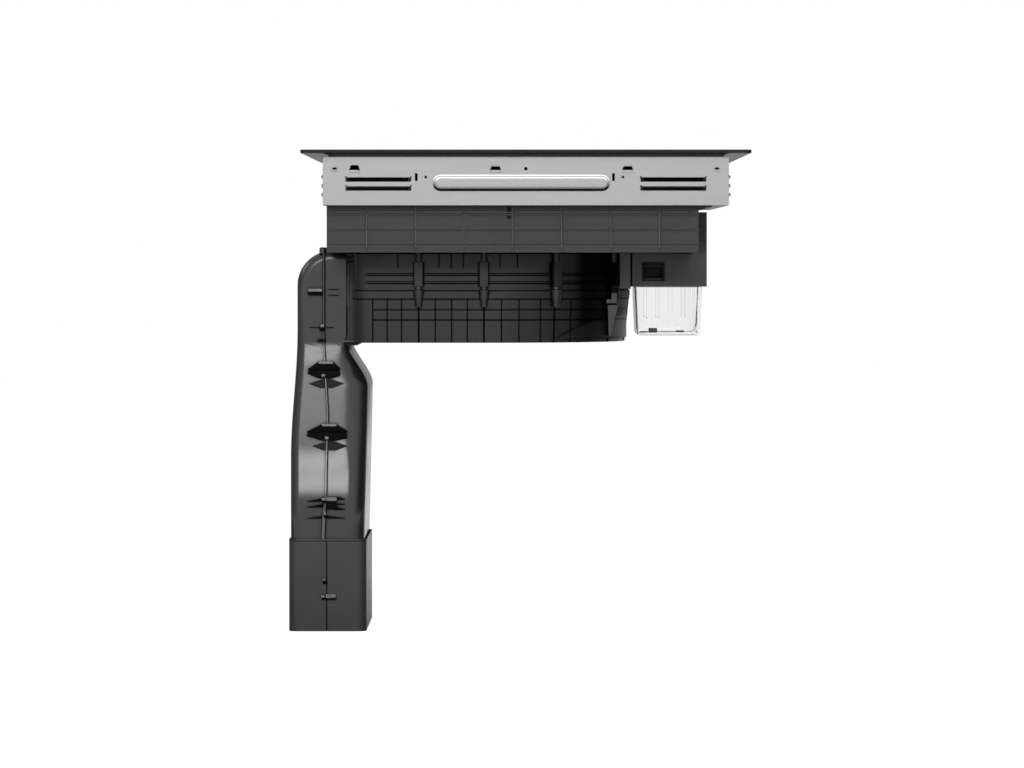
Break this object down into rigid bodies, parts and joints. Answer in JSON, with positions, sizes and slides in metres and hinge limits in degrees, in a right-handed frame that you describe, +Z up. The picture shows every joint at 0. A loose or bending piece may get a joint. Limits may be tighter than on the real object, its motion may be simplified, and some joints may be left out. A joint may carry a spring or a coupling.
{
  "type": "cooktop with integrated extractor",
  "caption": "Built-in induction cooktop with a middle downdraft extractor, its fan housing, clear overflow tank and flat rear duct with a sliding sleeve.",
  "frame": {"origin": "middle of the worktop cut-out, in the plane of the worktop's top, which is the glass's underside", "axes": "+X to the user's right, -Y to the front, +Z up out of the worktop"},
  "size_m": [0.592, 0.5446, 0.5735],
  "materials": {
    "black_glass": "polished black glass ceramic",
    "frame_black": "matt black",
    "galvanised_steel": "galvanised, satin",
    "screw_steel": "plain",
    "tray_plastic": "fine grain",
    "housing_plastic": "fine grain",
    "holder_plastic": "fine grain",
    "duct_plastic": "satin",
    "sleeve_plastic": "fine grain",
    "clear_plastic": "clear moulded plastic",
    "seal_rubber": "soft black",
    "shaft_plastic": "fine grain",
    "container_plastic": "fine grain",
    "filter_steel": "stainless mesh",
    "grille_metal": "matt black enamel",
    "copper_litz": "wound copper wire",
    "carrier_plastic": "heat-proof plastic with ferrites",
    "sensor_ceramic": "ceramic",
    "plate_aluminium": "rolled sheet",
    "board_green": "solder mask",
    "standoff_brass": "turned",
    "fan_black": "moulded",
    "terminal_white": "moulded",
    "impeller_plastic": "moulded",
    "rotor_steel": "zinc",
    "shaft_steel": "ground",
    "stator_copper": "wound copper on laminations",
    "bearing_steel": "ground",
    "bracket_aluminium": "die cast"
  },
  "bodies": {
    "cooktop": {"glass_top": "black_glass", "glass_frame": "frame_black", "casing": "galvanised_steel", "casing_screws": "screw_steel", "air_shaft": "shaft_plastic", "coil_front_left": "copper_litz", "coil_rear_left": "copper_litz", "coil_front_right": "copper_litz", "coil_rear_right": "copper_litz", "carrier_front_left": "carrier_plastic", "carrier_rear_left": "carrier_plastic", "carrier_front_right": "carrier_plastic", "carrier_rear_right": "carrier_plastic", "temperature_sensors": "sensor_ceramic", "coil_plate_left": "plate_aluminium", "coil_plate_right": "plate_aluminium", "plate_posts": "plate_aluminium", "power_board_left": "board_green", "power_board_right": "board_green", "board_standoffs": "standoff_brass", "heat_sink_left": "plate_aluminium", "heat_sink_right": "plate_aluminium", "cooling_fan_housing": "fan_black", "touch_board": "board_green", "touch_carrier": "carrier_plastic", "terminal_block": "terminal_white", "cable_gland": "frame_black", "lower_tray": "tray_plastic", "tray_screws": "screw_steel", "fan_control_board": "board_green", "tank_holder": "holder_plastic", "tank_screws": "screw_steel", "tank_seal": "seal_rubber", "inlet_ring": "shaft_plastic", "fan_housing_upper": "housing_plastic", "fan_housing_lower": "housing_plastic", "housing_screws": "screw_steel", "motor_stator": "stator_copper", "bearing_upper": "bearing_steel", "bearing_lower": "bearing_steel", "motor_bracket": "bracket_aluminium", "motor_screws": "screw_steel", "duct_joint_seal": "seal_rubber", "duct_front_shell": "duct_plastic", "duct_rear_shell": "duct_plastic"},
    "container": {"filter_container": "container_plastic"},
    "filter": {"grease_filter": "filter_steel"},
    "grille": {"inlet_grille": "grille_metal"},
    "blower_rotor": {"fan_impeller": "impeller_plastic", "motor_rotor": "rotor_steel", "motor_shaft": "shaft_steel"},
    "cooler_rotor": {"cooling_fan_rotor": "fan_black"},
    "tank": {"overflow_tank": "clear_plastic"},
    "sleeve": {"sleeve_front_shell": "sleeve_plastic", "sleeve_rear_shell": "sleeve_plastic"}
  },
  "joints": [
    {"name": "container_lift", "type": "slide", "parent": "cooktop", "child": "container", "axis": [0, 0, 1], "range_m": [0, 0.12]},
    {"name": "filter_lift", "type": "slide", "parent": "container", "child": "filter", "axis": [0, 0, 1], "range_m": [0, 0.06]},
    {"name": "grille_lift", "type": "slide", "parent": "filter", "child": "grille", "axis": [0, 0, 1], "range_m": [0, 0.04]},
    {"name": "fan_spin", "type": "hinge", "parent": "cooktop", "child": "blower_rotor", "pos_m": [0, 0.028, -0.168], "axis": [0, 0, 1], "continuous": true},
    {"name": "cooling_fan_spin", "type": "hinge", "parent": "cooktop", "child": "cooler_rotor", "pos_m": [-0.162, 0.193, -0.05], "axis": [0, 0, 1], "continuous": true},
    {"name": "tank_release", "type": "slide", "parent": "cooktop", "child": "tank", "axis": [0, 0, -1], "range_m": [0, 0.07]},
    {"name": "sleeve_extend", "type": "slide", "parent": "cooktop", "child": "sleeve", "axis": [0, 0, -1], "range_m": [0, 0.06]}
  ]
}
